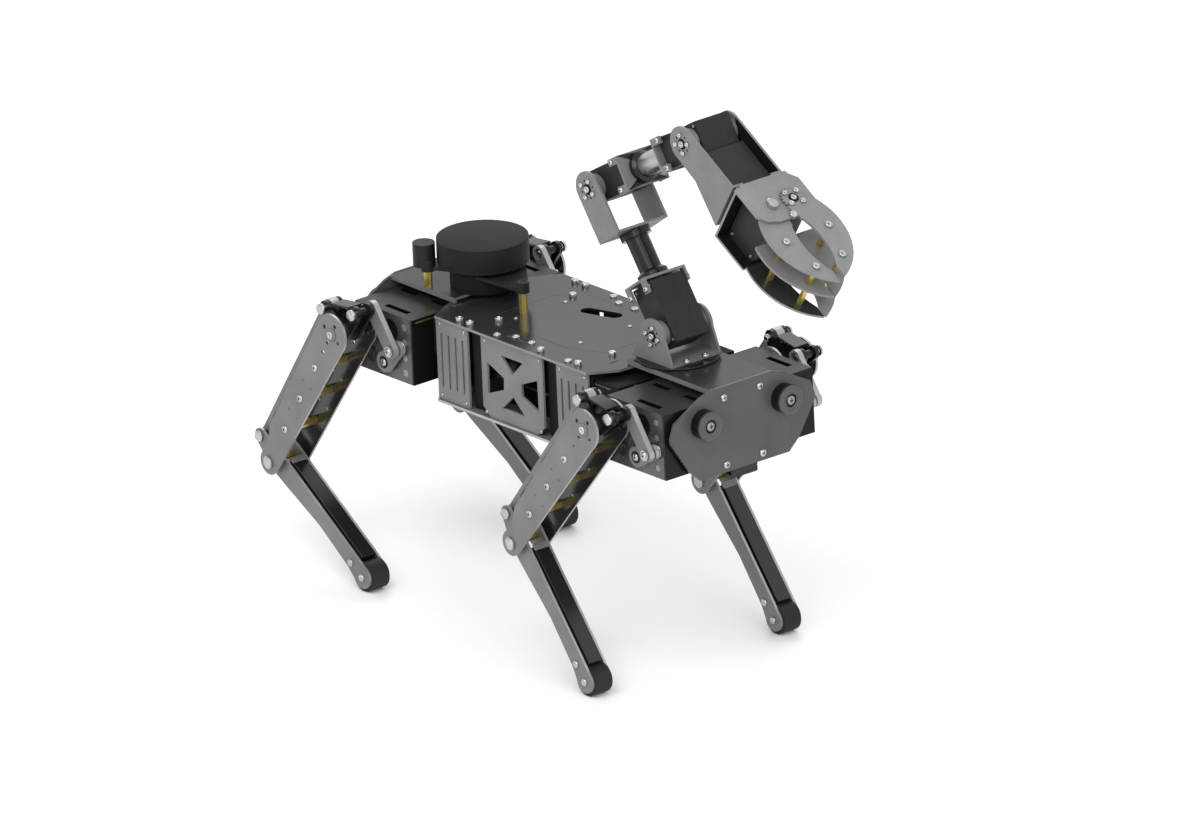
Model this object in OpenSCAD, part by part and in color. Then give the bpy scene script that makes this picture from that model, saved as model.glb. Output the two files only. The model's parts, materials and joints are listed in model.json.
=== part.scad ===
// Quadruped robot with parallelogram legs, a roof arm and a scanner.
// Frame: +X ahead, +Y to the robot's left, +Z up, feet on z = 0.
// Everything is laid out in the body's own frame, then tilted onto its feet.

/* [Stance] */
// Distance of each hip pitch axis from the body centre
hip_x = 146.2; // [120:0.1:170]
// Distance of each leg's middle plane from the body's
leg_y = 91.4; // [80:0.1:110]
// Backward lean of the front thighs
front_lean = 38.7; // [10:0.1:50]
// Backward lean of the rear thighs
rear_lean = 33.26; // [10:0.1:50]
// Forward lean of the front shanks
front_shank = 37.64; // [20:0.1:60]
// Forward lean of the rear shanks
rear_shank = 54.38; // [20:0.1:60]

/* [Legs] */
// Hip axis to knee axis
thigh_len = 145; // [120:1:170]
// Knee axis to foot axis
shank_len = 118; // [100:1:140]
// Radius of the rubber foot
foot_r = 11.3; // [8:0.1:15]
// Length of the rocker's rear arm and of the knee lever
lever_len = 22.3; // [18:0.1:30]
// Length of the rocker's front arm
rocker_len = 26.3; // [20:0.1:32]
// Crank length
crank_len = 20; // [15:0.1:25]
// Crank pin to rocker pin
link_len = 34.6; // [28:0.1:40]
// Pin radius in every leg pivot
pin_r = 3; // [2:0.1:4]

/* [Body] */
// Thickness of the sheet metal
sheet = 2; // [1.5:0.1:3]
// Half width of the top and bottom plates
deck_half = 62.2; // [55:0.1:70]
// Top face of the top plate
deck_z = 20.5; // [15:0.1:25]
// Underside of the bottom plate
belly_z = -47.5; // [-55:0.1:-40]
// Outer face of the side panels
panel_y = 60.2; // [55:0.1:65]
// Top face of the front roof bracket
roof_z = 24.8; // [22:0.1:30]

/* [Arm] */
// Shoulder axis to elbow axis
upper_len = 120.5; // [100:0.5:140]
// Elbow axis to wrist axis
fore_len = 131; // [110:0.5:150]
// Backward lean of the upper arm
upper_lean = 34.7; // [0:0.1:60]
// Rise of the forearm ahead
fore_rise = 29.8; // [0:0.1:60]
// Drop of the gripper ahead
grip_drop = 32; // [0:0.1:60]
// Width of the straps that hold each servo
strap_w = 27.4; // [24:0.1:32]

/* [Scanner] */
// Radius of the turning scanner head
turret_r = 34.5; // [30:0.1:40]
// Scanner centre from the body centre
scanner_x = -95; // [-110:1:-80]

/* [Hidden] */
$fn = 48;

run = 0.05;            // radial running clearance
slack = 1.2;           // room round the rocker's pin in the link's upper eye
lap = 0.2;             // overlap that joins touching solids
plate_in = 13.8;       // thigh plates' inner faces from the leg's middle plane
cheek_in = 7.8;        // shank plates' inner faces from the leg's middle plane
roll_y = 38.9;         // roll axis from the body's middle plane
roll_z = 1.3;          // roll axis height
box_back = -13;        // hip box, measured from its pitch axis
box_front = 52;
box_low = -36.7;
box_high = 14.9;
box_in = 16;
box_out = 72;
crank_x = 24.3;        // crank axis from the pitch axis
crank_z = -23.3;
end_gap = 2.8;         // hip box to end plate
hub_len = 6;           // roll hub between a hip box and its roll servo
horn_r = 10;           // servo output disc
rocker_angle = 92.5;   // between the rocker's two arms
lever_lag = 6.5;       // knee lever behind the shank's angle
shoulder_x = 129.9;
shoulder_z = 47.4;
strap_y = 22;          // inner face of the arm's straps
servo_half = 12.4;     // half thickness of an arm servo
servo_tail = 38.7;     // arm servo ahead of its axis
servo_nose = 11.5;     // arm servo behind its axis
servo_near = -14.6;    // arm servo sides
servo_far = 18;
finger_g = 89;         // finger pivots ahead of the wrist axis
finger_y = 10;
palm_m = 17.2;         // underside of the palm plate above the wrist axis
gear_teeth = 20;
rivet_u = 102.9;       // upper shank rivet from the knee
thigh_spacers = [37.7, 72.6, 107.9]; // from the hip axis
spacer_d = 6.4;        // hexagonal spacers across their corners
centre_hole = 2.6;     // strap holes over a servo's disc
bolt_circle = 6.6;
bolt_hole = 1.1;
palm_back = 62.5;      // palm walls
palm_floor = -36.5;
finger_root_drop = 2.6; // right finger's root below the palm plate

front_foot = hip_x - thigh_len * sin(front_lean) + shank_len * sin(front_shank);
rear_foot = -hip_x - thigh_len * sin(rear_lean) + shank_len * sin(rear_shank);
front_drop = thigh_len * cos(front_lean) + shank_len * cos(front_shank);
rear_drop = thigh_len * cos(rear_lean) + shank_len * cos(rear_shank);
body_pitch = atan2(front_drop - rear_drop, front_foot - rear_foot);
rise = front_drop * cos(body_pitch) - front_foot * sin(body_pitch) + foot_r;
shift_x = -39.48;      // puts the middle of the overall length at x = 0

elbow_x = shoulder_x - upper_len * sin(upper_lean);
elbow_z = shoulder_z + upper_len * cos(upper_lean);
wrist_x = elbow_x + fore_len * cos(fore_rise);
wrist_z = elbow_z + fore_len * sin(fore_rise);

LEG_PARTS = ["hip_box", "hip_servos", "thigh", "shank", "foot", "rocker", "rod",
             "crank_horn", "crank", "crank_pin", "link"];
LEGS = ["front_right", "front_left", "rear_right", "rear_left"];
BODY_PARTS = ["top_plate", "lid", "bottom_plate", "side_panels", "end_plates",
              "roof_brackets", "electronics", "scanner_base", "scanner_head",
              "arm_waist", "upper_arm", "forearm", "wrist", "palm",
              "finger_left", "finger_right"];

// ---- placing ----

// Tilts the body's frame onto its feet.
module stand() {
    translate([shift_x, 0, rise]) rotate([0, -body_pitch, 0]) children();
}

// A leg's frame: origin on the pitch axis in the body's middle plane, +Y outward.
module at_leg(end, side) {
    stand() translate([end * hip_x, 0, 0]) mirror([0, side < 0 ? 1 : 0, 0]) children();
}

// Cylinder along Y between two stations.
module bar_y(r, y0, y1) {
    translate([0, y1, 0]) rotate([90, 0, 0]) cylinder(r = r, h = y1 - y0);
}

// Extrudes an outline drawn in X and Z between two Y stations.
module slab_y(y0, y1) {
    translate([0, y1, 0]) rotate([90, 0, 0]) linear_extrude(y1 - y0) children();
}

// Turns the drawing plane so that its first axis points at an angle above +X.
module turned(angle) {
    rotate([0, -angle, 0]) children();
}

// Strap with two round ends of different radius.
module strap(len, r_a, r_b) {
    ease = 0.1;
    circle(r = r_a);
    translate([len, 0]) circle(r = r_b);
    polygon([[0, ease - r_a], [len, ease - r_b], [len, r_b - ease], [0, r_a - ease]]);
}

// Rounded slot outline between two points along X.
module slot(x0, x1, w) {
    translate([x0, -w / 2]) square([x1 - x0, w]);
    translate([x0, 0]) circle(d = w, $fn = 24);
    translate([x1, 0]) circle(d = w, $fn = 24);
}

function lean(end) = end > 0 ? front_lean : rear_lean;
function shank_angle(end) = end > 0 ? front_shank : rear_shank;

// Angles above +X, in the leg's plane.
function thigh_dir(end) = -90 - lean(end);
function shank_dir(end) = -90 + shank_angle(end);
function rear_arm_dir(end) = 90 + shank_angle(end) - lever_lag;
function front_arm_dir(end) = rear_arm_dir(end) - rocker_angle;
function crank_dir(end) = end > 0 ? 23 : 43;
function knee(end) = thigh_len * [cos(thigh_dir(end)), 0, sin(thigh_dir(end))];
function crank_pin_at(end) =
    [crank_x + crank_len * cos(crank_dir(end)), 0, crank_z + crank_len * sin(crank_dir(end))];
function rocker_pin(end) =
    rocker_len * [cos(front_arm_dir(end)), 0, sin(front_arm_dir(end))];
function rod_top(end) = lever_len * [cos(rear_arm_dir(end)), 0, sin(rear_arm_dir(end))];

// ---- hips ----

module box_face() {
    difference() {
        translate([box_back, box_low]) square([box_front - box_back, box_high - box_low]);
        circle(r = horn_r + run);
        translate([crank_x, crank_z]) circle(r = 6 + run);
        translate([27, 1.4]) circle(r = 8.5);
        translate([4, -23.6]) circle(r = 7);
        for (k = [0:3]) translate([42.7, 7 - 12 * k]) circle(r = 2.9, $fn = 24);
    }
}

module hip_box(end) {
    long = box_front - box_back;
    tall = box_high - box_low;
    plate_end = end > 0 ? box_front : box_back;
    body_end = end > 0 ? box_back : box_front;
    difference() {
        translate([box_back, box_in, box_low]) cube([long, box_out - box_in, tall]);
        translate([box_back + sheet, box_in + sheet, box_low + sheet])
            cube([long - 2 * sheet, box_out - box_in, tall - 2 * sheet]);
        for (x = [-6, 30]) translate([x, 30, box_high - sheet - lap]) cube([18, 5, 5]);
        translate([12, 60, box_high - sheet - lap]) cube([26, 5, 5]);
    }
    slab_y(box_out - sheet, box_out) box_face();
    translate([plate_end - (end > 0 ? lap : 14 - lap), roll_y, roll_z])
        rotate([0, 90, 0]) cylinder(r = 8, h = 14);
    translate([body_end - (end > 0 ? hub_len : lap), roll_y, roll_z])
        rotate([0, 90, 0]) cylinder(r = 12, h = hub_len + lap);
    translate([body_end - (end > 0 ? hub_len + 6 : -hub_len), roll_y, roll_z])
        rotate([0, 90, 0]) cylinder(r = 4, h = 6);
}

module servo_case(x0, z0, z1) {
    translate([x0, 24, z0]) cube([45, 45.4, z1 - z0]);
    translate([x0 + 2, 22, z0 + 1.5]) cube([41, 2 + lap, z1 - z0 - 3]);
}

module hip_servos() {
    difference() {
        union() {
            servo_case(-10.6, -10.4, 10.4);
            servo_case(-10.6, -34, -12.8);
            translate([-10.6, 24, -13]) cube([45, 30, 3]);
        }
        bar_y(horn_r + 0.5, 66, 75);
        translate([crank_x, 0, crank_z]) bar_y(6.5, 66, 75);
    }
}

// ---- thighs ----

module thigh_outline() {
    difference() {
        union() {
            circle(r = 16);
            polygon([[0, -15.7], [thigh_len - 27, -14.3], [thigh_len - 12, -8.2], [thigh_len, -9.8],
                     [thigh_len, 9.8], [0, 15.7]]);
            translate([thigh_len, 0]) circle(r = 10);
        }
        for (k = [0:3]) rotate(90 * k) translate([8.73, 0]) circle(r = 1.6, $fn = 20);
        translate([19.5, 0]) circle(r = 1.8, $fn = 20);
        for (w = [57, 90]) for (u = [-5.2, 5.2]) translate([w, u]) circle(r = 1.25, $fn = 20);
    }
}

module thigh(end) {
    turned(thigh_dir(end)) {
        for (s = [-1, 1])
            slab_y(leg_y + s * (plate_in + sheet / 2) - sheet / 2,
                   leg_y + s * (plate_in + sheet / 2) + sheet / 2) thigh_outline();
        for (w = thigh_spacers)
            translate([w, leg_y + plate_in + lap, 0]) rotate([90, 0, 0])
                cylinder(d = spacer_d, h = 2 * (plate_in + lap), $fn = 6);
        bar_y(horn_r, box_out - sheet - 1, leg_y - plate_in - sheet + lap);
        for (w = [0, thigh_len]) translate([w, 0, 0])
            bar_y(pin_r, leg_y - plate_in - lap, leg_y + plate_in + lap);
        for (s = [-1, 1]) translate([thigh_len, leg_y + s * (plate_in + sheet + 1 - lap), 0])
            bar_y(5, -1, 1);
    }
}

// ---- shanks ----

module cheek_outline() {
    polygon([[0, -9], [20, -7.6], [62, -3.6], [rivet_u, -5], [shank_len, -8.6], [shank_len, 8.6],
             [100, 9], [0, 9.3]]);
    circle(r = 9.5);
    translate([shank_len, 0]) circle(r = 8.8);
}

module shank(end) {
    lever = rear_arm_dir(end) - shank_dir(end);
    translate(knee(end)) turned(shank_dir(end)) {
        difference() {
            union() {
                for (s = [-1, 1])
                    slab_y(leg_y + s * (cheek_in + sheet / 2) - sheet / 2,
                           leg_y + s * (cheek_in + sheet / 2) + sheet / 2) {
                        cheek_outline();
                        rotate(lever) strap(lever_len, 9.5, 6);
                    }
                slab_y(leg_y - cheek_in - lap, leg_y + cheek_in + lap)
                    translate([14, -1]) square([82, 8]);
                translate([10, leg_y - 6.5, 6]) cube([98, 13, 4.5]);
            }
            bar_y(pin_r + run, leg_y - plate_in, leg_y + plate_in);
        }
        for (u = [rivet_u, shank_len]) translate([u, 0, 0])
            bar_y(pin_r, leg_y - cheek_in - sheet - 0.8, leg_y + cheek_in + sheet + 0.8);
        turned(lever) translate([lever_len, 0, 0])
            bar_y(pin_r, leg_y - cheek_in - sheet - 1, leg_y + cheek_in + sheet + 1);
    }
}

module foot(end) {
    translate(knee(end)) turned(shank_dir(end)) difference() {
        translate([shank_len, 0, 0]) bar_y(foot_r, leg_y - cheek_in, leg_y + cheek_in);
        translate([shank_len, 0, 0]) bar_y(pin_r, 0, 2 * leg_y);
        translate([rivet_u, 0, 0]) bar_y(pin_r + 1, 0, 2 * leg_y);
        translate([90, leg_y - 10, 4.6]) cube([19, 20, 8]);
    }
}

// ---- knee drive ----

module rocker(end) {
    difference() {
        union() {
            for (s = [-1, 1])
                slab_y(leg_y + s * 5.6 - 1.5, leg_y + s * 5.6 + 1.5) {
                    rotate(rear_arm_dir(end)) strap(lever_len, 9, 5.5);
                    rotate(front_arm_dir(end)) strap(rocker_len, 9, 5.5);
                }
            bar_y(8, leg_y - 10, leg_y + 10);
        }
        bar_y(pin_r + run, leg_y - 12, leg_y + 12);
    }
    translate(rocker_pin(end)) bar_y(pin_r, leg_y - 11.2, leg_y + 10.4);
    translate(rod_top(end)) bar_y(pin_r, leg_y - 10.4, leg_y + 10.4);
}

module rod(end) {
    translate(rod_top(end)) turned(thigh_dir(end)) slab_y(leg_y - 3.5, leg_y + 3.5)
        difference() {
            union() {
                strap(thigh_len, 5.5, 5.5);
                circle(r = 5.8);
                translate([thigh_len, 0]) circle(r = 5.8);
            }
            circle(r = pin_r + run);
            translate([thigh_len, 0]) circle(r = pin_r + run);
            for (k = [0:2]) translate([30 + 42.5 * k, 0]) slot(-12, 12, 4);
        }
}

module crank_horn() {
    translate([crank_x, 0, crank_z]) bar_y(6, box_out - sheet - 1, 74);
}

module crank(end) {
    translate([crank_x, 0, crank_z]) turned(crank_dir(end)) slab_y(74, 77.6) difference() {
        strap(crank_len, 8, 6);
        translate([crank_len, 0]) circle(r = pin_r + run);
        circle(r = 1.6, $fn = 20);
    }
}

module crank_pin(end) {
    translate(crank_pin_at(end)) {
        bar_y(pin_r, 73, 85);
        bar_y(4.2, 83.6, 85);
    }
}

module link(end) {
    pin = crank_pin_at(end);
    far = rocker_pin(end) - pin;
    translate(pin) turned(atan2(far[2], far[0])) slab_y(79, 83.4) difference() {
        strap(norm(far), 5.6, 6.2);
        circle(r = pin_r + run);
        translate([norm(far), 0]) circle(r = pin_r + slack);
    }
}

// ---- body ----

module deck_outline() {
    polygon([[-92, -38], [-79, -deck_half], [97, -deck_half], [110, -40], [111, -25], [111, 25],
             [110, 40], [97, deck_half], [-79, deck_half], [-92, 38]]);
}

module lid_outline(grow) {
    g = grow;
    polygon([[-47 - g, -25 - g / 2], [-34 - g / 2, -38 - g], [43 + g / 2, -38 - g], [75 + g, -25 - g / 2],
             [75 + g, 25 + g / 2], [47 + g / 2, 46 + g], [-39 - g / 2, 46 + g], [-47 - g, 25 + g / 2]]);
}

module top_plate() {
    color([0.33, 0.33, 0.34]) stand() translate([0, 0, deck_z - sheet])
        linear_extrude(sheet) difference() {
            deck_outline();
            lid_outline(0.3);
            translate([7, -52]) slot(-12, 13, 3);
            translate([-84, -36]) rotate(90) slot(-3.5, 3.5, 1.6);
            translate([94.5, -32]) rotate(90) slot(-3.5, 3.5, 1.6);
        }
}

module lid() {
    color([0.35, 0.35, 0.36]) stand() translate([0, 0, deck_z - sheet])
        linear_extrude(sheet) difference() {
            lid_outline(0);
            translate([7, 28]) rotate(18) slot(-12, 12, 11);
        }
}

module bottom_plate() {
    color([0.4, 0.4, 0.41]) stand() translate([0, 0, belly_z]) linear_extrude(sheet) difference() {
        deck_outline();
        for (k = [-3:3]) translate([8 + 14 * k, 0]) rotate(90) slot(-18, 18, 4);
    }
}

// Slotted end panel: four upright slots.
module slotted_panel(x0, x1) {
    difference() {
        translate([x0, -45.3]) square([x1 - x0, 63.6]);
        for (k = [0:3]) translate([x0 + 5.8 + k * (x1 - x0 - 11.6) / 3, -14]) rotate(90)
            slot(-20.5, 20.5, 2.2);
    }
}

module cross_panel() {
    difference() {
        polygon([[-28, 18.3], [43, 18.3], [43, -38], [35, -45.3], [-20, -45.3], [-28, -38]]);
        for (s = [-1, 1]) translate([7.5, 0]) mirror([s < 0 ? 1 : 0, 0])
            polygon([[-29, -2], [-29.5, -27], [-10.5, -19.5], [-10, -10]]);
        polygon([[-5.5, 7.5], [20, 7.5], [7.5, -5]]);
        polygon([[-5.6, -34.5], [20.6, -34.5], [7.5, -22.5]]);
    }
}

module side_panels() {
    color([0.55, 0.55, 0.56]) stand() for (s = [-1, 1])
        slab_y(s * (panel_y - sheet / 2) - sheet / 2, s * (panel_y - sheet / 2) + sheet / 2) {
            slotted_panel(-80, -44);
            slotted_panel(59.5, 96);
            cross_panel();
        }
}

module end_outline() {
    half = [[29.5, 24.8], [40, 21.5], [66, 7.4], [70, -4], [69.5, -8], [53, -34], [43, -43]];
    difference() {
        polygon(concat(half, [for (k = [6:-1:0]) [-half[k][0], half[k][1]]]));
        for (s = [-1, 1]) translate([s * roll_y, roll_z]) circle(r = 8 + run);
        for (s = [-1, 1]) for (z = [16, -37]) translate([s * 17.5, z]) circle(r = 1.7, $fn = 20);
    }
}

// End plate in the Y-Z plane with its two bearing rings, pointing along +X.
module end_plate() {
    rotate([90, 0, 90]) linear_extrude(sheet) end_outline();
    for (s = [-1, 1]) translate([sheet - lap, s * roll_y, roll_z]) rotate([0, 90, 0])
        difference() {
            cylinder(r = 11.3, h = 8);
            translate([0, 0, -1]) cylinder(r = 8 + run, h = 10);
        }
}

module end_plates() {
    color([0.38, 0.38, 0.39]) stand() {
        translate([hip_x + box_front + end_gap, 0, 0]) end_plate();
        translate([-hip_x + box_back - end_gap, 0, 0]) mirror([1, 0, 0]) end_plate();
    }
}

// Folded roof over two hip boxes: top sheet, side lips and a foot on the top plate.
module roof(x0, x1, half, top, lip) {
    translate([x0, -half, top - sheet]) cube([x1 - x0, 2 * half, sheet]);
    for (s = [-1, 1]) translate([x0, s * (half - 1) - 1, top - lip]) cube([x1 - x0, 2, lip]);
}

module roof_brackets() {
    front_end = hip_x + box_front + end_gap;
    rear_end = -hip_x + box_back - end_gap;
    color([0.2, 0.2, 0.21]) stand() {
        roof(106, front_end, 29.5, roof_z, 4);
        roof(rear_end, -88, 34.8, deck_z + 4, 4);
        translate([90, -12, belly_z - sheet]) cube([front_end + sheet - 90, 24, sheet]);
        translate([rear_end - sheet, -12, belly_z - sheet]) cube([-86 - rear_end + sheet, 24, sheet]);
        for (x = [front_end, rear_end - sheet])
            translate([x, -12, belly_z - lap]) cube([sheet, 24, -43 - belly_z]);
    }
}

// Roll servo behind each hip, with the bearing for the roll hub's stub.
module roll_servo(x0, x1, bore_x) {
    difference() {
        translate([x0, 22, -12]) cube([x1 - x0, 34, 26]);
        translate([bore_x, roll_y, roll_z]) rotate([0, 90, 0])
            cylinder(r = 4 + run, h = 8, center = true);
    }
}

module electronics() {
    front_x = hip_x + box_back - hub_len;
    rear_x = -hip_x + box_front + hub_len;
    color([0.12, 0.12, 0.13]) stand() {
        translate([-35, -30, belly_z + sheet]) cube([90, 60, 26]);
        translate([-38, -48, -18]) cube([96, 96, 1.6]);
        translate([-5, -18, -16.4]) cube([34, 36, 8]);
        for (x = [-30, -12, 32, 44]) translate([x, -40, -16.4]) cube([9, 14, 9]);
        for (s = [-1, 1]) mirror([0, s < 0 ? 1 : 0, 0]) {
            roll_servo(front_x - 45.2, front_x - 0.2, front_x - 4);
            roll_servo(rear_x + 0.2, rear_x + 40, rear_x + 4);
        }
        for (x = [-42, 60]) for (y = [-52, 52])
            translate([x, y, belly_z + sheet]) cylinder(d = spacer_d, h = deck_z - belly_z - 2 * sheet, $fn = 6);
    }
}

// ---- scanner ----

SCANNER_POSTS = [[60, -12], [-27, -31.5], [-27, 31.5]];

module scanner_base() {
    floor_z = deck_z + 4;
    color([0.2, 0.2, 0.21]) stand() translate([scanner_x, 0, 0]) {
        translate([0, 0, floor_z + 2.5]) cylinder(r = 24, h = 12.5);
        translate([0, 0, floor_z + 14.8]) cylinder(r1 = 26, r2 = 31, h = 4.7);
        for (p = SCANNER_POSTS) {
            deck = p[0] > 0 ? deck_z : floor_z;
            translate([p[0], p[1], deck]) cylinder(d = spacer_d, h = 37.2 - deck, $fn = 6);
            translate([p[0], p[1], 37]) cylinder(r = 5, h = 8);
        }
        translate([0, 0, 38]) linear_extrude(2.6)
            polygon([[-30, -35], [-10, -24], [61, -16], [64, -9], [20, 24], [-30, 35]]);
        translate([-32, -30.5, 40]) cylinder(r = 8.5, h = 18);
    }
}

module scanner_head() {
    color([0.21, 0.21, 0.22]) stand() translate([scanner_x, 0, 0]) {
        translate([0, 0, 44.2]) cylinder(r = turret_r, h = 18.8);
        translate([0, 0, 44]) cylinder(r = 12, h = 1);
    }
}

// ---- arm ----

// Frame of an arm segment: origin on its axis, first axis along the segment.
module at_axis(x, z, angle) {
    stand() translate([x, 0, z]) rotate([0, -angle, 0]) children();
}

// Bus servo on its own axis, long side along +X, output discs on both sides.
module arm_servo() {
    translate([-servo_nose, servo_near, -servo_half])
        cube([servo_nose + servo_tail, servo_far - servo_near, 2 * servo_half]);
    bar_y(horn_r, servo_near - 5.6, strap_y - 0.1);
    bar_y(horn_r, -strap_y + 0.1, servo_near + 2);
}

// Cup that holds a servo's tail: back sheet and two ears.
module tail_cup(tail) {
    translate([tail, -20, -13.8]) cube([sheet, 40, 27.6]);
    for (s = [-1, 1]) for (z = [-1, 1])
        translate([tail - 10, s * 19 - 1, z * 11 - 2.8]) cube([11, 2, 5.6]);
}

// Tube with a flange at each end.
module flanged_tube(len) {
    rotate([0, 90, 0]) {
        cylinder(r = 8.8, h = len);
        cylinder(r = 12, h = 4);
        translate([0, 0, 4]) cylinder(r1 = 12, r2 = 9.5, h = 2);
        translate([0, 0, len - 6]) cylinder(r = 12, h = 6);
    }
}

// Centre hole and four screw holes over a servo's disc.
module strap_holes() {
    circle(r = centre_hole, $fn = 24);
    for (k = [0:3]) rotate(45 + 90 * k) translate([bolt_circle, 0]) circle(r = bolt_hole, $fn = 16);
}

// Fork of two straps joined by a base sheet; the axis is at the origin, base at -depth.
module fork(depth) {
    for (s = [-1, 1])
        slab_y(s * (strap_y + 1) - 1, s * (strap_y + 1) + 1) difference() {
            union() {
                circle(d = strap_w);
                translate([-depth, -strap_w / 2]) square([depth, strap_w]);
            }
            strap_holes();
        }
    translate([-depth, -strap_y - sheet, -strap_w / 2]) cube([sheet, 2 * (strap_y + sheet), strap_w]);
}

module arm_waist() {
    height = shoulder_z - roof_z - 2.2;
    color([0.5, 0.5, 0.51]) {
        stand() translate([shoulder_x, 0, 0]) {
            translate([0, 0, roof_z + 0.1]) cylinder(r = 31, h = 2.2);
            difference() {
                for (s = [-1, 1]) slab_y(s * (strap_y + 1) - 1, s * (strap_y + 1) + 1) {
                    translate([0, shoulder_z]) circle(d = strap_w);
                    polygon([[-strap_w / 2, shoulder_z], [-24, roof_z + 2.2], [22, roof_z + 2.2],
                             [strap_w / 2, shoulder_z]]);
                }
                translate([0, 0, shoulder_z]) bar_y(centre_hole, -30, 30);
            }
            translate([-24, -strap_y - sheet, roof_z + 2.1]) cube([46, 2 * (strap_y + sheet), sheet]);
        }
    }
}

module upper_arm() {
    color([0.3, 0.3, 0.31]) at_axis(shoulder_x, shoulder_z, 90 + upper_lean) {
        arm_servo();
        tail_cup(servo_tail + 1.5);
        translate([servo_tail + 3.4, 0, 0]) flanged_tube(upper_len - 40.4 - servo_tail - 3);
        translate([upper_len, 0, 0]) fork(40.5);
    }
}

module forearm() {
    back = fore_len - servo_tail - 3.5;
    color([0.3, 0.3, 0.31]) at_axis(elbow_x, elbow_z, fore_rise) {
        arm_servo();
        tail_cup(servo_tail + 1.5);
        translate([servo_tail + 3.4, 0, 0]) flanged_tube(back - servo_tail - 3.3);
        translate([fore_len, 0, 0]) mirror([1, 0, 0]) {
            arm_servo();
            tail_cup(servo_tail + 1.5);
        }
    }
}

module wrist() {
    reach = 59.5;
    color([0.55, 0.55, 0.56]) at_axis(wrist_x, wrist_z, -grip_drop) {
        for (s = [-1, 1]) slab_y(s * (strap_y + 1) - 1, s * (strap_y + 1) + 1) difference() {
            union() {
                circle(d = strap_w);
                polygon([[0, -strap_w / 2], [25, -14.5], [reach, -28.5], [reach, 13.8],
                         [0, strap_w / 2]]);
            }
            strap_holes();
        }
        difference() {
            translate([reach - sheet, -strap_y - lap, -28.5]) cube([sheet, 2 * (strap_y + lap), 42.3]);
            translate([reach, 0, 18]) rotate([0, 90, 0]) cylinder(r = 14, h = 6, center = true);
            translate([reach, 0, -6]) rotate([0, 90, 0]) cylinder(r = 8 + run, h = 6, center = true);
        }
        translate([18, -16, -18]) cube([reach - sheet - 18.1 + lap, 35, 24.8]);
    }
}

module palm_outline() {
    polygon([[65, -28.3], [94, -28.3], [101, -22], [104, -12], [104, 12], [101, 22], [94, 28.3],
             [72, 28.3], [65, 22]]);
}

module palm() {
    color([0.55, 0.55, 0.56]) at_axis(wrist_x, wrist_z, -grip_drop) {
        translate([0, 0, palm_m]) linear_extrude(sheet) difference() {
            palm_outline();
            translate([finger_g, finger_y]) circle(r = 6 + run);
            translate([finger_g, -finger_y]) circle(r = 3 + run);
        }
        translate([palm_back, -24, palm_floor]) cube([sheet, 48, palm_m - palm_floor + lap]);
        translate([palm_back, -22, palm_m]) cube([4, 44, sheet]);
        translate([palm_back, -24, palm_floor]) cube([37, 48, sheet]);
        translate([59.6, 0, -6]) rotate([0, 90, 0]) cylinder(r = 11, h = 3.1);
        translate([57.6, 0, -6]) rotate([0, 90, 0]) cylinder(r = 8, h = 3);
        translate([66, -14, -34.7]) cube([30, 36, 46.7]);
    }
}

// Flat gear outline, one tooth centred at the given turn.
module gear(turn) {
    circle(r = 8.9);
    for (k = [0:gear_teeth - 1]) rotate(turn + 360 / gear_teeth * k)
        polygon([[8, -0.75], [10.8, -0.28], [10.8, 0.28], [8, 0.75]]);
}

// Curved claw between two arcs, from the given station to its tip.
module claw(start) {
    intersection() {
        difference() {
            translate([120.3, -20.9]) circle(r = 53.3, $fn = 90);
            translate([129.6, -57.5]) circle(r = 65.3, $fn = 90);
        }
        translate([start, 0.9]) square([80, 40]);
    }
}

// One finger on the +Y side: geared root, three claws and four spacers.
module finger(root, turn) {
    level = [root, -2.5, -25];
    translate([0, 0, root]) linear_extrude(sheet) {
        claw(95);
        polygon([[finger_g, finger_y + 8], [97, 26], [108, 26], [109, 3.2], [102, 3.5], [finger_g, 5]]);
        translate([finger_g, finger_y]) gear(turn);
    }
    for (k = [1, 2]) translate([0, 0, level[k]]) linear_extrude(sheet) claw(106);
    for (p = [[122, 19.5], [150.5, 11.8]]) translate([p[0], p[1], level[2] - 1.4])
        cylinder(r = 2.75, h = root - level[2] + sheet + 2.8, $fn = 6);
}

module finger_left() {
    color([0.6, 0.6, 0.61]) at_axis(wrist_x, wrist_z, -grip_drop) {
        finger(palm_m + sheet + 0.2, 0);
        translate([finger_g, finger_y, palm_m - 2.8]) cylinder(r = 6, h = 6);
        translate([0, 0, palm_m - 2.8]) linear_extrude(2.4)
            translate([finger_g, finger_y]) gear(-90);
    }
}

module finger_right() {
    color([0.6, 0.6, 0.61]) at_axis(wrist_x, wrist_z, -grip_drop) mirror([0, 1, 0]) {
        finger(palm_m - finger_root_drop, -90 + 180 / gear_teeth);
        translate([finger_g, finger_y, palm_m - finger_root_drop]) cylinder(r = 3, h = 8.6);
        translate([finger_g, finger_y, palm_m + sheet + 0.1]) cylinder(r = 4, h = 3.9);
    }
}

// ---- one leg's sub-parts ----

module leg_part(end, side, part) {
    grey = [0.55, 0.55, 0.56];
    at_leg(end, side) {
        if (part == "hip_box") color([0.1, 0.1, 0.1]) hip_box(end);
        if (part == "hip_servos") color([0.15, 0.15, 0.16]) hip_servos();
        if (part == "thigh") color(grey) thigh(end);
        if (part == "shank") color(grey) shank(end);
        if (part == "foot") color([0.08, 0.08, 0.08]) foot(end);
        if (part == "rocker") color([0.4, 0.4, 0.41]) rocker(end);
        if (part == "rod") color([0.5, 0.5, 0.51]) rod(end);
        if (part == "crank_horn") color("silver") crank_horn();
        if (part == "crank") color([0.5, 0.5, 0.51]) crank(end);
        if (part == "crank_pin") color("silver") crank_pin(end);
        if (part == "link") color([0.5, 0.5, 0.51]) link(end);
    }
}

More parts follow.
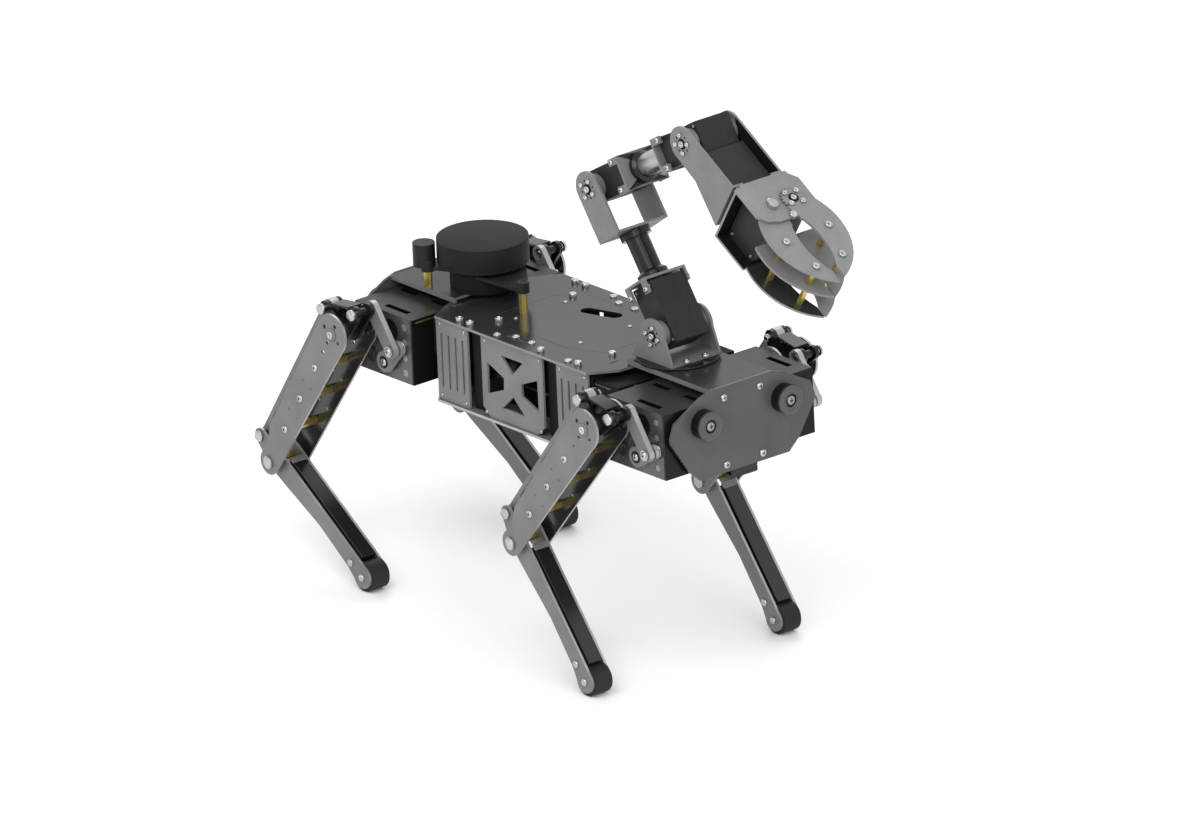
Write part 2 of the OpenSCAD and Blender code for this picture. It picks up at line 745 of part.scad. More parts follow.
top_plate();
lid();
bottom_plate();
side_panels();
end_plates();
roof_brackets();
electronics();
scanner_base();
scanner_head();
arm_waist();
upper_arm();
forearm();
wrist();
palm();
finger_left();
finger_right();
for (leg = LEGS, part = LEG_PARTS)
    leg_part(leg[0] == "f" ? 1 : -1, leg[len(leg) - 4] == "l" ? 1 : -1, part);
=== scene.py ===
"""Looks for a four-legged robot with linkage legs, a roof arm and a spinning scanner.

Lengths are millimetres in the body's own frame, which is tilted nose-up in the row frame:
x ahead, y to the robot's left, z up, with the origin midway between the four pitch axes.
"""
import json
import math

import bmesh
import bpy
from mathutils import Matrix, Vector


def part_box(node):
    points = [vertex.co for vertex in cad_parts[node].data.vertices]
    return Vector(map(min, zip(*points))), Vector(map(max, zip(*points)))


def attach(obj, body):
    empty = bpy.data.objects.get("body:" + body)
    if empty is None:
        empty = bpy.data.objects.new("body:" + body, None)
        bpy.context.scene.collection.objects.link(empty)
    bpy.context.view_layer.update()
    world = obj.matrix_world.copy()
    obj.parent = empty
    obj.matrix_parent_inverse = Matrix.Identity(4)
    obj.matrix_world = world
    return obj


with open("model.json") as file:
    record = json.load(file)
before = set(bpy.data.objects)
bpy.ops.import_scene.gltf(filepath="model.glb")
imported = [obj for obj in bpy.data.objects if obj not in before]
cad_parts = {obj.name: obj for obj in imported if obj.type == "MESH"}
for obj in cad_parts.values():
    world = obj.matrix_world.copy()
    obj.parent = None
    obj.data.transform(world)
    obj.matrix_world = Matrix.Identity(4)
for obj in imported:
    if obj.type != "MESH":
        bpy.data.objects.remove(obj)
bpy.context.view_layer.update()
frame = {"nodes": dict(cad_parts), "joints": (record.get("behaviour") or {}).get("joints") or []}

MM = 0.001
JOINTS = {joint["name"]: joint for joint in frame["joints"]}


def joint_pos(name):
    """A joint's centre at rest, in the row frame."""
    return Vector(JOINTS[name]["pos_m"])


# ---- the body's own frame, from the pitch joints ----

_front = joint_pos("front_left_pitch")
_rear = joint_pos("rear_left_pitch")
HIP_X = (_front - _rear).length / 2 / MM
LEG_Y = _front.y / MM
PITCH = math.atan2(_front.z - _rear.z, _front.x - _rear.x)
_middle = (_front + _rear) / 2
BODY = Matrix.Translation((_middle.x, 0, _middle.z)) @ Matrix.Rotation(-PITCH, 4, "Y")
TO_BODY = BODY.inverted()


def in_body(point):
    """A row-frame point in the body's frame, in millimetres."""
    return TO_BODY @ Vector(point) / MM


# ---- faces that the pieces sit on, in millimetres ----

DECK_TOP = 20.5      # top plate
PANEL_OUT = 60.2     # side panels, from the body's middle plane
NOSE_FACE = 203      # front end plate, ahead of the body's centre
TAIL_FACE = -164     # rear end plate
BOX_OUT = 72         # hip boxes' outboard faces
BOX_BACK = -13       # hip boxes' ends, from their pitch axis
BOX_FRONT = 52
ROLL_Y = 38.9        # roll axes
ROLL_Z = 1.3
PLATE_OUT = 15.8     # thigh plates' outer faces, from the leg's middle plane
KNEE_HEAD = 17.5     # knee pins' flat heads
ROCKER_OUT = 10.3    # rocker pins' ends
CHEEK_OUT = 10.7     # shank pins' ends
CRANK_OUT = 77.6     # cranks' outer faces, from the body's middle plane
PIN_OUT = 85         # crank pins' ends, from the body's middle plane
PIN_IN = 73
THIGH_SPACERS = (37.7, 72.6, 107.9)
SHANK_RIVETS = (102.9, 118)
ROCKER_ARM = 26.3    # rocker's front arm, and the angle between its arms
ROCKER_ANGLE = 92.5
STRAP_OUT = 24       # outer faces of the arm's straps
SCANNER_X = -95
FINGER_SPACERS = ((122, 19.5), (150.5, 11.8))
FINGER_PIVOT = (89, 10)

# ---- camera ----

AZIMUTH = math.radians(50.06)
ELEVATION = math.radians(23.15)
FRAME_WIDTH = 891.7
AIM_RIGHT = 24.07
AIM_UP = -53.87


def make_camera():
    right = Vector((math.cos(AZIMUTH), math.sin(AZIMUTH), 0))
    look = Vector((-math.sin(AZIMUTH) * math.cos(ELEVATION),
                   math.cos(AZIMUTH) * math.cos(ELEVATION), -math.sin(ELEVATION)))
    up = right.cross(look)
    data = bpy.data.cameras.new("camera")
    data.type = "ORTHO"
    data.ortho_scale = FRAME_WIDTH * MM
    data.clip_end = 20
    camera = bpy.data.objects.new("camera", data)
    bpy.context.collection.objects.link(camera)
    aim = BODY.translation + (right * AIM_RIGHT + up * AIM_UP) * MM
    camera.location = aim - look * 3
    camera.rotation_mode = "QUATERNION"
    camera.rotation_quaternion = look.to_track_quat("-Z", "Y")
    bpy.context.scene.camera = camera


make_camera()

# ---- materials ----


def new_material(name):
    material = bpy.data.materials.new(name)
    material.use_nodes = True
    nodes = material.node_tree.nodes
    links = material.node_tree.links
    return material, nodes, links, nodes["Principled BSDF"]


def noise(nodes, links, coords, scale, detail=3.0, rough=0.5):
    node = nodes.new("ShaderNodeTexNoise")
    node.inputs["Scale"].default_value = scale
    node.inputs["Detail"].default_value = detail
    node.inputs["Roughness"].default_value = rough
    links.new(coords, node.inputs["Vector"])
    return node.outputs["Fac"]


def spread(nodes, links, value, low, high):
    """value, which sits near a half, mapped to low..high."""
    node = nodes.new("ShaderNodeMapRange")
    node.inputs["From Min"].default_value = 0.3
    node.inputs["From Max"].default_value = 0.7
    node.inputs["To Min"].default_value = low
    node.inputs["To Max"].default_value = high
    links.new(value, node.inputs["Value"])
    return node.outputs["Result"]


def mix_colour(nodes, links, factor, first, second):
    node = nodes.new("ShaderNodeMix")
    node.data_type = "RGBA"
    node.inputs["A"].default_value = (*first, 1)
    node.inputs["B"].default_value = (*second, 1)
    links.new(factor, node.inputs["Factor"])
    return node.outputs["Result"]


def surface(name, colour, rough, metal=0.0, vary=0.12, cloud=60.0, grain=1400.0, bump=0.1,
            depth=0.00003, specular=0.5):
    """A solid finish: cloudy colour, uneven gloss and a fine grain."""
    material, nodes, links, shader = new_material(name)
    coords = nodes.new("ShaderNodeTexCoord").outputs["Object"]
    broad = noise(nodes, links, coords, cloud)
    dark = tuple(c * (1 - vary) for c in colour)
    light = tuple(min(1, c * (1 + vary)) for c in colour)
    links.new(mix_colour(nodes, links, spread(nodes, links, broad, 0, 1), dark, light),
              shader.inputs["Base Color"])
    fine = noise(nodes, links, coords, grain, detail=4.0, rough=0.6)
    links.new(spread(nodes, links, fine, max(0.03, rough - 0.07), rough + 0.07),
              shader.inputs["Roughness"])
    relief = nodes.new("ShaderNodeBump")
    relief.inputs["Strength"].default_value = bump
    relief.inputs["Distance"].default_value = depth
    links.new(fine, relief.inputs["Height"])
    links.new(relief.outputs["Normal"], shader.inputs["Normal"])
    shader.inputs["Metallic"].default_value = metal
    shader.inputs["Specular IOR Level"].default_value = specular
    return material


MAT = {
    "panel": surface("panel_grey", (0.15, 0.15, 0.152), 0.42, metal=0.1, cloud=35, specular=0.35),
    "panel_edge": surface("cut_edge", (0.36, 0.36, 0.36), 0.35, metal=0.5, grain=3000),
    "deck": surface("deck_gloss", (0.022, 0.022, 0.023), 0.16, cloud=25, bump=0.02, specular=0.34),
    "deck_edge": surface("deck_edge", (0.2, 0.2, 0.2), 0.35, metal=0.4),
    "nose": surface("nose_plate", (0.066, 0.066, 0.068), 0.34, cloud=30, specular=0.3),
    "roof": surface("roof_plate", (0.022, 0.022, 0.023), 0.22, cloud=30, specular=0.2),
    "box": surface("box_gloss_black", (0.006, 0.006, 0.0065), 0.2, bump=0.03, specular=0.15),
    "box_face": surface("box_face", (0.05, 0.045, 0.042), 0.24, bump=0.04, specular=0.7),
    "box_top": surface("box_top", (0.02, 0.02, 0.021), 0.35, bump=0.06, specular=0.18),
    "hex_pale": surface("hex_insert", (0.25, 0.25, 0.25), 0.3, metal=0.5),
    "servo": surface("servo_case", (0.016, 0.016, 0.017), 0.5, grain=2200, bump=0.2, specular=0.22),
    "servo_dark": surface("servo_dark", (0.008, 0.008, 0.009), 0.45, grain=2200, specular=0.15),
    "scanner": surface("scanner_shell", (0.011, 0.011, 0.0115), 0.6, grain=2600, bump=0.15, specular=0.12),
    "scanner_low": surface("scanner_base", (0.014, 0.014, 0.015), 0.5, grain=2600, specular=0.2),
    "black": surface("black_anodised", (0.01, 0.01, 0.011), 0.25, metal=0.3, specular=0.4),
    "cover": surface("shank_cover", (0.01, 0.01, 0.011), 0.16, cloud=20, specular=0.5),
    "rubber": surface("foot_rubber", (0.012, 0.012, 0.012), 0.6, grain=900, bump=0.4,
                      depth=0.0001, specular=0.25),
    "steel": surface("bright_steel", (0.46, 0.46, 0.455), 0.24, metal=1.0, grain=3500, bump=0.04),
    "dull_steel": surface("dull_steel", (0.42, 0.42, 0.42), 0.3, metal=1.0, grain=3000),
    "brass": surface("spacer_brass", (0.55, 0.42, 0.12), 0.26, metal=0.9, grain=2500, bump=0.05),
    "claw": surface("claw_grey", (0.18, 0.18, 0.183), 0.4, metal=0.1, cloud=40, specular=0.35),
    # Near-black: the black washers, and painted shade in slots, holes, hollows and on inner faces.
    "inside": surface("inner_black_and_painted_shade", (0.006, 0.006, 0.007), 0.6, specular=0.1),
    # Painted shade: a darker glossy copy of the panel grey, for the thigh plates' inner faces, which face
    # each other in shade.
    "gloss_inner_painted_shade": surface("gloss_inner_painted_shade", (0.07, 0.07, 0.071), 0.14, metal=0.75, cloud=30, bump=0.02),
    # Painted shade: a darker copy of the claw grey, for the flat faces of the right finger's lowest claw
    # plate, which lies in shade.
    "claw_painted_shade": surface("claw_painted_shade", (0.02, 0.02, 0.0205), 0.2, cloud=40, specular=0.3),
    # Painted shade: the circuit board's colour darkened almost to black for the shade inside the body.
    "board": surface("board_painted_shade", (0.02, 0.024, 0.022), 0.4, cloud=400, vary=0.4, specular=0.3),
}

# ---- mesh helpers ----


class Piece:
    """One mesh gathered from turned and extruded shapes, then set riding on a body."""

    def __init__(self, name, body, slot):
        self.name = name
        self.body = body
        self.slot = slot
        self.mesh = bmesh.new()
        self.names = []

    def index(self, material):
        if material not in self.names:
            self.names.append(material)
        return self.names.index(material)

    def rings(self, place, material, loops, smooth=True, cap_start=False, cap_end=True):
        """Joins loops of points, each in the place's frame in millimetres, into a skin."""
        slot = self.index(material)
        made = [[self.mesh.verts.new((place @ Vector(point)) * MM) for point in loop] for loop in loops]
        for first, second in zip(made, made[1:]):
            count = len(first)
            for k in range(count):
                face = self.mesh.faces.new((first[k], first[(k + 1) % count],
                                            second[(k + 1) % count], second[k]))
                face.material_index = slot
                face.smooth = smooth
        if cap_start:
            face = self.mesh.faces.new(list(reversed(made[0])))
            face.material_index = slot
        if cap_end:
            face = self.mesh.faces.new(made[-1])
            face.material_index = slot

    def turned(self, place, material, profile, sides=32, smooth=True, cap_start=False, cap_end=True):
        """Turns a profile of (radius, height) about the place's z axis."""
        loops = [[(radius * math.cos(2 * math.pi * k / sides), radius * math.sin(2 * math.pi * k / sides),
                   height) for k in range(sides)] for radius, height in profile]
        self.rings(place, material, loops, smooth, cap_start, cap_end)

    def prism(self, place, material, outline, low, high, chamfer=0.25, smooth=False):
        """Extrudes an outline along the place's z axis, with a small chamfer on both rims."""
        inner = shrink(outline, chamfer)
        loops = [[(x, y, low) for x, y in inner], [(x, y, low + chamfer) for x, y in outline],
                 [(x, y, high - chamfer) for x, y in outline], [(x, y, high) for x, y in inner]]
        self.rings(place, material, loops, smooth, cap_start=True)

    def box(self, place, material, low, high, chamfer=0.4):
        """A box between two corners in the place's frame, with chamfered edges."""
        outline = [(low[0], low[1]), (high[0], low[1]), (high[0], high[1]), (low[0], high[1])]
        self.prism(place, material, corner_cut(outline, chamfer), low[2], high[2], chamfer)

    def done(self):
        bmesh.ops.recalc_face_normals(self.mesh, faces=self.mesh.faces)
        data = bpy.data.meshes.new(self.name)
        self.mesh.to_mesh(data)
        self.mesh.free()
        for name in self.names:
            data.materials.append(MAT[name])
        piece = bpy.data.objects.new(self.name, data)
        bpy.context.collection.objects.link(piece)
        piece.matrix_world = BODY
        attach(piece, self.body)
        return piece


def shrink(outline, by):
    """An outline moved inwards; its points run counter-clockwise."""
    count = len(outline)
    moved = []
    for k, point in enumerate(outline):
        before = Vector(outline[k - 1])
        here = Vector(point)
        after = Vector(outline[(k + 1) % count])
        first = (here - before).normalized()
        second = (after - here).normalized()
        inward = Vector((-first.y - second.y, first.x + second.x))
        scale = by / max(0.3, 1 + first.dot(second)) if inward.length > 0 else 0
        moved.append(tuple(here + inward * scale))
    return moved


def corner_cut(outline, by):
    """An outline with each corner cut across."""
    cut = []
    count = len(outline)
    for k, point in enumerate(outline):
        here = Vector(point)
        cut.append(tuple(here + (Vector(outline[k - 1]) - here).normalized() * by))
        cut.append(tuple(here + (Vector(outline[(k + 1) % count]) - here).normalized() * by))
    return cut


def place(origin, out, along=(0, 0, 1)):
    """A frame at a point whose z axis points out; its x axis leans towards along."""
    out = Vector(out).normalized()
    first = Vector(along) - out * Vector(along).dot(out)
    if first.length < 0.01:
        first = Vector((1, 0, 0)) - out * out.x
    first.normalize()
    second = out.cross(first)
    turn = Matrix((first, second, out)).transposed().to_4x4()
    return Matrix.Translation(origin) @ turn


def hex_loop(across, height, sides=24):
    """A hexagon's outline as 24 points, so that it can join a circle's."""
    loop = []
    for k in range(sides):
        angle = 2 * math.pi * k / sides
        lean = (angle % (math.pi / 3)) - math.pi / 6
        radius = across / 2 / math.cos(lean)
        loop.append((radius * math.cos(angle), radius * math.sin(angle), height))
    return loop


def circle_loop(radius, height, sides=24):
    return [(radius * math.cos(2 * math.pi * k / sides), radius * math.sin(2 * math.pi * k / sides),
             height) for k in range(sides)]


def screw(piece, where, radius=2.9, height=2.6, socket=2.4, material="steel"):
    """Socket-head screw with a domed rim and a hexagon recess; its seat is at the place's origin."""
    rim = min(0.6, height * 0.35)
    piece.rings(where, material, [
        circle_loop(radius, 0), circle_loop(radius, height - rim),
        circle_loop(radius - rim * 0.3, height - rim * 0.3), circle_loop(radius - rim, height),
        circle_loop(socket * 0.62, height), hex_loop(socket, height - 0.15),
        hex_loop(socket, height - min(1.5, height * 0.65))])


# ---- painting the CAD nodes ----


def paint(node, main, *rules):
    """Main material on a node, and each rule's material on the faces whose centre and normal pass it."""
    mesh = frame["nodes"][node].data
    mesh.materials.clear()
    mesh.materials.append(MAT[main])
    turn = TO_BODY.to_3x3()
    for name, _ in rules:
        mesh.materials.append(MAT[name])
    for face in mesh.polygons:
        centre = in_body(face.center)
        normal = turn @ face.normal
        face.material_index = 0
        for index, (_, test) in enumerate(rules, start=1):
            if test(centre, normal):
                face.material_index = index


LEGS = [(end, side, f"{'front' if end > 0 else 'rear'}_{'left' if side > 0 else 'right'}")
        for end in (1, -1) for side in (-1, 1)]


def arm_place(axis, toward):
    """An arm segment's frame: origin on its axis, x along the segment, y the row's y."""
    start = in_body(joint_pos(axis))
    run = in_body(joint_pos(toward)) - start
    start.y = 0
    run.y = 0
    first = run.normalized()
    third = first.cross(Vector((0, 1, 0)))
    turn = Matrix((first, Vector((0, 1, 0)), third)).transposed().to_4x4()
    return Matrix.Translation(start) @ turn


def length_between(first, second):
    return (joint_pos(second) - joint_pos(first)).length / MM


UPPER = arm_place("shoulder", "elbow")
FORE = arm_place("elbow", "wrist_pitch")
FORE_BACK = FORE @ Matrix.Translation((length_between("elbow", "wrist_pitch"), 0, 0)) @ \
    Matrix.Rotation(math.pi, 4, "Z")
GRIP_DIR = TO_BODY.to_3x3() @ Vector(JOINTS["wrist_roll"]["axis"])
WRIST = place(in_body(joint_pos("wrist_pitch")), GRIP_DIR.cross(Vector((0, 1, 0))), GRIP_DIR)
SERVO_LOW = Vector((-11.5, -14.6, -12.4))
SERVO_HIGH = Vector((38.7, 18, 12.4))


def within(where, low, high, ease=0.3):
    """A test that passes faces inside a box of the given frame."""
    back = where.inverted()

    def test(centre, normal):
        spot = back @ centre
        return all(l - ease < v < h + ease for l, v, h in zip(low, spot, high))
    return test


def near_axis(where, x, y, radius):
    """A test that passes faces round a line along the given frame's z axis."""
    back = where.inverted()

    def test(centre, normal):
        spot = back @ centre
        return math.hypot(spot.x - x, spot.y - y) < radius
    return test


def both(*tests):
    return lambda centre, normal: all(test(centre, normal) for test in tests)


def side_face(where, axis, limit=0.6):
    """A test that passes faces that don't look along the given axis of a frame."""
    line = where.to_3x3() @ Vector(axis)
    return lambda centre, normal: abs(normal.dot(line)) < limit


def flat_face(where, axis):
    """A test that passes faces that look along the given axis of a frame, either way."""
    line = where.to_3x3() @ Vector(axis)
    return lambda centre, normal: abs(normal.dot(line)) > 0.9


def paint_nodes():
    paint("top_plate", "deck", ("deck_edge", lambda c, n: abs(n.z) < 0.5))
    # The lid's side faces get near-black painted shade.
    paint("lid", "deck", ("inside", lambda c, n: abs(n.z) < 0.5))
    paint("bottom_plate", "panel", ("panel_edge", lambda c, n: abs(n.z) < 0.5))
    paint("side_panels", "panel", ("panel_edge", lambda c, n: abs(n.y) < 0.5))
    paint("end_plates", "nose",
          ("box", lambda c, n: abs(n.x) < 0.5 and (c.x > 203.2 or c.x < -164.2)))
    paint("roof_brackets", "roof", ("deck_edge", lambda c, n: abs(n.z) < 0.5 and c.z > 19))
    # The electronics are near-black painted shade, and their board band the darkened board colour, also
    # painted shade.
    paint("electronics", "inside", ("board", lambda c, n: -20 < c.z < -8))
    paint("scanner_base", "scanner_low",
          ("brass", lambda c, n: c.z < 37.1 and math.hypot(c.x + 95, c.y) > 27 or c.z < 26.5))
    paint("scanner_head", "scanner")
    paint("arm_waist", "panel", ("black", lambda c, n: c.z < 27.2))
    paint("upper_arm", "panel",
          ("servo", within(UPPER, SERVO_LOW, SERVO_HIGH)),
          ("black", within(UPPER, (42.4, -12.5, -12.5), (79.8, 12.5, 12.5))))
    paint("forearm", "panel",
          ("servo", within(FORE, SERVO_LOW, SERVO_HIGH)),
          ("servo", within(FORE_BACK, (-11.5, -18, -12.4), (38.7, 14.6, 12.4))),
          ("black", within(FORE, (42.4, -12.5, -12.5), (50, 12.5, 12.5))),
          ("dull_steel", within(FORE, (50.1, -12.5, -12.5), (88.4, 12.5, 12.5))))
    # The wrist bracket's inner side faces get near-black painted shade.
    paint("wrist", "panel",
          ("inside", both(within(WRIST, (10, -22.1, -29), (59, 22.1, 14)), flat_face(WRIST, (0, 1, 0)))),
          ("servo", within(WRIST, (18.2, -16, -18), (57.2, 19, 6.8))))
    # The palm's inner faces get near-black painted shade; the servo inside keeps its case colour.
    paint("palm", "claw",
          ("inside", within(WRIST, (64.8, -23.9, -34.8), (99, 23.9, 17))),
          ("servo", within(WRIST, (66.2, -14, -34.4), (96, 22, 12))),
          ("dull_steel", within(WRIST, (57, -11, -17), (62, 11, 6))))
    for node, side in (("finger_left", 1), ("finger_right", -1)):
        # On the right finger, the lowest claw plate's flat faces get the darker painted shade.
        paint(node, "claw",
              ("claw_painted_shade", both(within(WRIST, (100, -40, -25.3), (180, 40, -22.7)),
                                 flat_face(WRIST, (0, 0, 1)), lambda c, n, side=side: side < 0)),
              ("brass", both(near_axis(WRIST, 122, side * 19.5, 2.9), side_face(WRIST, (0, 0, 1)))),
              ("brass", both(near_axis(WRIST, 150.5, side * 11.8, 2.9),
                             side_face(WRIST, (0, 0, 1)))),
              ("steel", both(near_axis(WRIST, 89, side * 10, 4.2), within(
                  WRIST, (80, -20, 19.3), (98, 20, 30)), lambda c, n, side=side: side < 0)))
    for end, side, leg in LEGS:
        hip = end * HIP_X
        paint(f"{leg}_hip_box", "box",
              ("box_face", lambda c, n: abs(n.y) > 0.9 and abs(c.y) > 69.5),
              ("box_top", lambda c, n: n.z > 0.9 and c.z > 14))
        paint(f"{leg}_hip_servos", "servo_dark")
        # The thigh plates' inner faces get the darker glossy painted shade.
        paint(f"{leg}_thigh", "panel",
              ("panel_edge", lambda c, n: abs(n.y) < 0.5),
              ("gloss_inner_painted_shade", lambda c, n: abs(n.y) > 0.9 and abs(abs(c.y) - LEG_Y) < 13.9),
              ("brass", lambda c, n: abs(abs(c.y) - LEG_Y) < 13.7 and abs(n.y) < 0.5),
              ("dull_steel", lambda c, n, hip=hip: math.hypot(c.x - hip, c.z) < 10.3
               and abs(n.y) < 0.5),
              ("steel", lambda c, n: abs(abs(c.y) - LEG_Y) > 15.9 and c.z < -60))
        paint(f"{leg}_shank", "panel",
              ("panel_edge", lambda c, n: abs(n.y) < 0.5 and abs(abs(c.y) - LEG_Y) > 8),
              ("cover", lambda c, n: abs(abs(c.y) - LEG_Y) < 7.9 and
               not (abs(n.y) > 0.9 and abs(abs(c.y) - LEG_Y) > 7.7)),
              ("steel", lambda c, n: abs(abs(c.y) - LEG_Y) > 9.9))
        paint(f"{leg}_foot", "rubber")
        paint(f"{leg}_rocker", "black", ("steel", lambda c, n: abs(n.y) < 0.5 and
                                         abs(abs(c.y) - LEG_Y) > 7.3))
        paint(f"{leg}_rod", "panel", ("panel_edge", lambda c, n: abs(n.y) < 0.5))
        paint(f"{leg}_crank_horn", "dull_steel")
        paint(f"{leg}_crank", "panel", ("panel_edge", lambda c, n: abs(n.y) < 0.5))
        paint(f"{leg}_crank_pin", "steel")
        paint(f"{leg}_link", "panel", ("panel_edge", lambda c, n: abs(n.y) < 0.5))


paint_nodes()

# ---- screws and fittings ----


def cross_screw(piece, where, radius=2.6, height=1.5, material="steel"):
    """Pan-head screw with a cross recess drawn as dark slots of painted shade; its seat is at the place's
    origin.
    """
    piece.turned(where, material, [(radius, 0), (radius, height * 0.35),
                                   (radius * 0.86, height * 0.75), (radius * 0.55, height)],
                 sides=24)
    # The cross recess is two dark boxes: painted shade in the recess.
    for turn in (0, math.pi / 2):
        slot = where @ Matrix.Rotation(turn, 4, "Z")
        piece.box(slot, "inside", (-radius * 0.5, -radius * 0.12, height - 0.3),
                  (radius * 0.5, radius * 0.12, height + 0.04), chamfer=0.03)


def washer(piece, where, radius, hole, height, material="dull_steel"):
    piece.rings(where, material, [circle_loop(hole, 0), circle_loop(radius, 0),
                                  circle_loop(radius, height), circle_loop(hole, height)],
                cap_end=False)


def deck_details():
    piece = Piece("deck_screws", "body", "slot_top_plate")
    top = DECK_TOP
    for side in (-1, 1):
        for x, y in ((-57, 56), (-45, 56), (-35.5, 36), (37.2, 56), (79.6, 55.2)):
            screw(piece, place((x, side * y, top), (0, 0, 1)), height=3)
        for x, y in ((-13, 56.5), (68.4, 55.6), (1, 50), (19.4, 50)):
            screw(piece, place((x, side * y, top), (0, 0, 1)), height=1.4)
        for x in (-30, 45):
            screw(piece, place((x, side * 24, top), (0, 0, 1)), radius=1.6, height=0.8, socket=1.3)
    screw(piece, place((82, -24, top), (0, 0, 1)), height=3)
    for z in (16, -37):
        for y in (-17.5, 17.5):
            cross_screw(piece, place((NOSE_FACE, y, z), (1, 0, 0)), radius=3, height=1.6)
            cross_screw(piece, place((TAIL_FACE, y, z), (-1, 0, 0)), radius=3, height=1.6)
    for side in (-1, 1):
        for x in (-76, -48, -24, 39, 63, 92):
            for z in (14.5, -42):
                cross_screw(piece, place((x, side * PANEL_OUT, z), (0, side, 0)), radius=1.5, height=0.7)
    piece.done()


def interior_details():
    """Dark inner walls as painted shade behind the panels' windows, connector blocks, and two bracket
    plates with screws.
    """
    piece = Piece("inner_fittings", "body", "slot_electronics")
    flat = Matrix.Identity(4)
    for side in (-1, 1):
        # Painted shade: near-black sheets behind the panels' windows and across the body's ends stand for
        # the shade inside the body.
        piece.box(flat, "inside", (-43, side * 55 - 1, -44), (-29, side * 55 + 1, 17))
        piece.box(flat, "inside", (44, side * 55 - 1, -44), (58.5, side * 55 + 1, 17))
        for k in range(4):
            piece.box(flat, "board", (-22 + 16 * k, side * 50 - 3, -8), (-13 + 16 * k, side * 50 + 3, 1))
        piece.box(flat, "panel", (99, side * 47 - 9, 10), (118, side * 47 + 9, 11.5))
        screw(piece, place((108, side * 42, 11.5), (0, 0, 1)), radius=2.4, height=1.6)
        screw(piece, place((113, side * 52, 11.5), (0, 0, 1)), radius=2.4, height=1.6)
    piece.box(flat, "inside", (97.5, -58, -44), (99, 58, 17))
    piece.box(flat, "inside", (-81, -58, -44), (-79.5, 58, 17))
    piece.done()


def hip_details(end, side, leg):
    hip = end * HIP_X
    body = f"{leg}_hip"
    piece = Piece(f"{leg}_hip_fittings", body, "slot_hip_box")
    out = (0, side, 0)
    face = side * BOX_OUT
    for k in range(4):
        where = place((hip + 42.7, face - side * 0.9, 7 - 12 * k), out)
        shape = hex_loop(5, 0) if end > 0 else circle_loop(2.8, 0)
        piece.rings(where, "hex_pale", [shape, [(x, y, 0.8) for x, y, _ in shape]], smooth=False)
    # The window is a dark disc in a thin rim: painted shade behind it.
    piece.turned(place((hip + 27, face - side * 1.2, 1.4), out), "inside",
                 [(8.4, 0), (8.4, 0.5), (7.2, 0.5), (7.2, 0.2)])
    piece.turned(place((hip + 4, face - side * 0.8, -23.6), out), "box_top",
                 [(6.9, 0), (6.9, 1.2), (6.5, 1.5), (2, 1.5), (2, 1.1)])
    flat = Matrix.Identity(4)
    for x in (hip - 12.2, hip + 51.2):
        edge = side * 72.1
        piece.box(flat, "box_top", (x - 0.7, edge - 0.35, -36.4), (x + 0.7, edge + 0.35, 14.6),
                  chamfer=0.15)
    strip = sorted((side * 20, side * 68))
    ends = (BOX_FRONT + 0.1, BOX_BACK - 0.1)[::end]
    plate_end = hip + ends[0]
    far_end = hip + ends[1]
    piece.box(flat, "brass", (far_end - 0.25, strip[0], 11.6), (far_end + 0.25, strip[1], 12.6),
              chamfer=0.1)
    cap = place((plate_end + end * (14 - 0.2), side * ROLL_Y, ROLL_Z), (end, 0, 0))
    piece.turned(cap, "nose", [(11.1, 0), (11.1, 0.9), (10.8, 1.2), (5.2, 1.2), (5.2, 0.5)], sides=48,
                 cap_end=False)
    # A dark disc inside the cap: painted shade in its hollow.
    piece.turned(cap, "inside", [(5.2, 0.4), (0.1, 0.4)], cap_end=True)
    cross_screw(piece, cap @ Matrix.Translation((0, 0, 0.4)), radius=3.6, height=1.2, material="hex_pale")
    piece.done()


def thigh_details(end, side, leg):
    hip = in_body(joint_pos(f"{leg}_pitch"))
    knee = in_body(joint_pos(f"{leg}_knee"))
    along = (knee - hip).normalized()
    piece = Piece(f"{leg}_thigh_fittings", f"{leg}_thigh", "slot_thigh")
    for station in THIGH_SPACERS:
        spot = hip + along * station
        for turn in (-1, 1):
            y = side * (LEG_Y + turn * PLATE_OUT)
            cross_screw(piece, place((spot.x, y, spot.z), (0, side * turn, 0), along), radius=3, height=1.5)
    y = side * (LEG_Y + PLATE_OUT)
    where = place((hip.x, y, hip.z), (0, side, 0), along)
    washer(piece, where, 5.2, 2.6, 0.8, "panel")
    screw(piece, where @ Matrix.Translation((0, 0, 0.8)), radius=3.1, height=1)
    where = place((knee.x, side * (LEG_Y + KNEE_HEAD), knee.z), (0, side, 0), along)
    piece.turned(where, "steel", [(4.4, 0), (4.4, 0.6), (4.1, 0.9), (0.1, 0.9)])
    piece.done()


